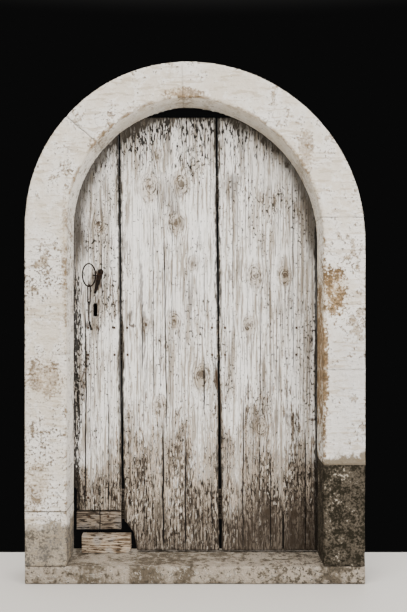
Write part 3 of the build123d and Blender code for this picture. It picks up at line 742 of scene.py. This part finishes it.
def close_joints(co, cell, worn):
    """Brings the stones' edges at a joint together again; gives the distance to the nearest joint."""
    nearest = np.ones(len(co))
    for side, px, pz, nx, nz, faintness in JOINTS:
        distance = (co[:, 0] - px) * nx + (co[:, 2] - SILL_TOP - pz) * nz
        ours = (np.sign(co[:, 0] - CROWN_X) == side) | (px == CROWN_X)
        above = co[:, 2] - SILL_TOP > pz - 0.6 * cell if nx else True
        here = ours & (np.abs(distance) < 0.7 * cell) & above
        co[here, 0] -= distance[here] * nx * 0.97
        co[here, 2] -= distance[here] * nz * 0.97
        for face, sign in ((CAD_BOX[0][1], 1), (CAD_BOX[1][1], -1)):
            rim = here & (np.abs(co[:, 1] - face) < cell)
            co[rim, 1] = face + sign * worn[rim]
        nearest = np.where(ours, np.minimum(nearest, np.abs(distance) + faintness), nearest)
    return nearest


def make_stones():
    """The surround and the threshold, with room in the springing stone for keeper and bolt."""
    lime = limewashed_stone("limewashed_stone")
    bare = limewashed_stone("bare_stone", bared=True)
    for node in STONES[:-1]:
        stone = roughened(node, "stone_" + node, lime, STONE_CELL, 0.0020, "frame")
        if node == "springer_left":
            low, high = (np.array(v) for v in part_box("keeper"))
            cut(stone, box_cutter(low - POCKET_PLAY, high + POCKET_PLAY))
            cut(stone, box_cutter(*BOLT_POCKET))
    roughened("base_right", "stone_base_right", bare, STONE_CELL, 0.0032, "frame")
    roughened("sill", "stone_sill", pale_threshold(), STONE_CELL, 0.0028, "frame")


def make_small_boards():
    """The patch at the leaf's foot, the sawn offcut under it and the ledges on the back."""
    level = (12, 120, 260)
    patch_timber = bare_timber("patch_timber", (0.062, 0.046, 0.034), (0.30, 0.24, 0.18), level, -0.382)
    roughened("patch_board", "board_patch", patch_timber, SMALL_BOARD_CELL, 0.0014, "leaf",
              (8, 60, 90))
    sawn_timber = bare_timber("sawn_timber", (0.12, 0.078, 0.047), (0.56, 0.45, 0.33), level)
    roughened("offcut_block", "block_offcut", sawn_timber, SMALL_BOARD_CELL, 0.0008, "frame",
              (8, 60, 110))
    ledge_timber = bare_timber("ledge_timber", (0.06, 0.045, 0.034), (0.23, 0.185, 0.14), level)
    for name in ("top", "middle", "bottom"):
        roughened("ledge_" + name, "board_ledge_" + name, ledge_timber, LEDGE_CELL, 0.0008,
                  "leaf", (4, 50, 70))


def painted_nails():
    """Iron nails, painted over where the planks still carry paint."""
    s = Shader("painted_nails")
    rusty = s.noise(180.0, (1, 1, 1), 4.0, 0.65)
    iron = s.mix(rusty.step(0.4, 0.65), (0.022, 0.018, 0.015), (0.10, 0.055, 0.03))
    covered = s.z.step(1.15, 1.25) * s.y.step(LEAF_BACK, LEAF_FRONT + 0.01)
    colour = s.mix(covered * 0.93, iron, (0.60, 0.575, 0.535))
    return s.finish(colour, 0.95 - rusty * 0.3, rusty, 0.0008)


def dress_ironwork():
    """Iron on every CAD node that still shows."""
    iron, nails = forged_iron(), painted_nails()
    for name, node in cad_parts.items():
        if not node.hide_render:
            node.data.materials.clear()
            node.data.materials.append(nails if name == "ledge_nails" else iron)


def make_light():
    """A sky that is bright above and dark near the horizon, and three large soft lamps."""
    world = bpy.data.worlds.new("sky")
    bpy.context.scene.world = world
    world.use_nodes = True
    nodes, links = world.node_tree.nodes, world.node_tree.links
    direction = nodes.new("ShaderNodeTexCoord")
    parts = nodes.new("ShaderNodeSeparateXYZ")
    rise = nodes.new("ShaderNodeMapRange")
    rise.interpolation_type = "SMOOTHSTEP"
    for name, value in (("From Min", 0.32), ("From Max", 0.80), ("To Min", 0.0), ("To Max", 1.0)):
        rise.inputs[name].default_value = value
    tone = nodes.new("ShaderNodeMix")
    tone.data_type = "RGBA"
    tone.inputs[6].default_value = (0.003, 0.003, 0.003, 1)
    tone.inputs[7].default_value = (1.0, 0.97, 0.93, 1)
    links.new(direction.outputs["Generated"], parts.inputs[0])
    links.new(parts.outputs[2], rise.inputs["Value"])
    links.new(rise.outputs[0], tone.inputs[0])
    links.new(tone.outputs[2], nodes["Background"].inputs["Color"])
    nodes["Background"].inputs["Strength"].default_value = 1.55
    for name, place, size, power, warmth in (("key", (-1.4, -3.2, 3.6), 3.4, 200.0, (1.0, 0.96, 0.90)),
                                             ("fill", (2.6, -3.0, 1.6), 3.4, 190.0, (1.0, 0.98, 0.96)),
                                             ("rear", (0.8, 3.2, 2.6), 2.4, 70.0, (1.0, 1.0, 1.0))):
        lamp = bpy.data.lights.new(name, "AREA")
        lamp.energy, lamp.size, lamp.color = power, size, warmth
        holder = bpy.data.objects.new(name, lamp)
        holder.location = place
        aim = np.array([0, 0, 1.0]) - np.array(place)
        holder.rotation_euler = (math.atan2(math.hypot(aim[0], aim[1]), -aim[2]), 0,
                                 math.atan2(aim[1], aim[0]) - math.pi / 2)
        bpy.context.scene.collection.objects.link(holder)


def make_floor():
    """A plain pale floor that ends behind the door, so its gaps are seen against the dark beyond."""
    s = Shader("pale_floor", 1.0)
    s.surface.inputs["Specular IOR Level"].default_value = 0.0
    s.surface.inputs["Base Color"].default_value = (0.62, 0.60, 0.57, 1.0)
    half = FLOOR_WIDTH / 2
    corners = [(-half, FLOOR_NEAR, 0), (half, FLOOR_NEAR, 0), (half, FLOOR_FAR, 0), (-half, FLOOR_FAR, 0)]
    floor = mesh_object("floor", corners, [(0, 1, 2, 3)])
    floor.data.materials.append(s.material)


def make_camera():
    """Level with the lock, square to the door, as in the photograph."""
    lens = bpy.data.cameras.new("camera")
    lens.lens, lens.sensor_width = LENS, SENSOR
    camera = bpy.data.objects.new("camera", lens)
    camera.location = (CAMERA_X, LEAF_FRONT - CAMERA_DISTANCE, CAMERA_HEIGHT)
    camera.rotation_euler = (math.pi / 2, 0, 0)
    bpy.context.scene.collection.objects.link(camera)
    bpy.context.scene.camera = camera


make_camera()
make_floor()
make_light()
make_planks()
make_stones()
make_small_boards()
dress_ironwork()
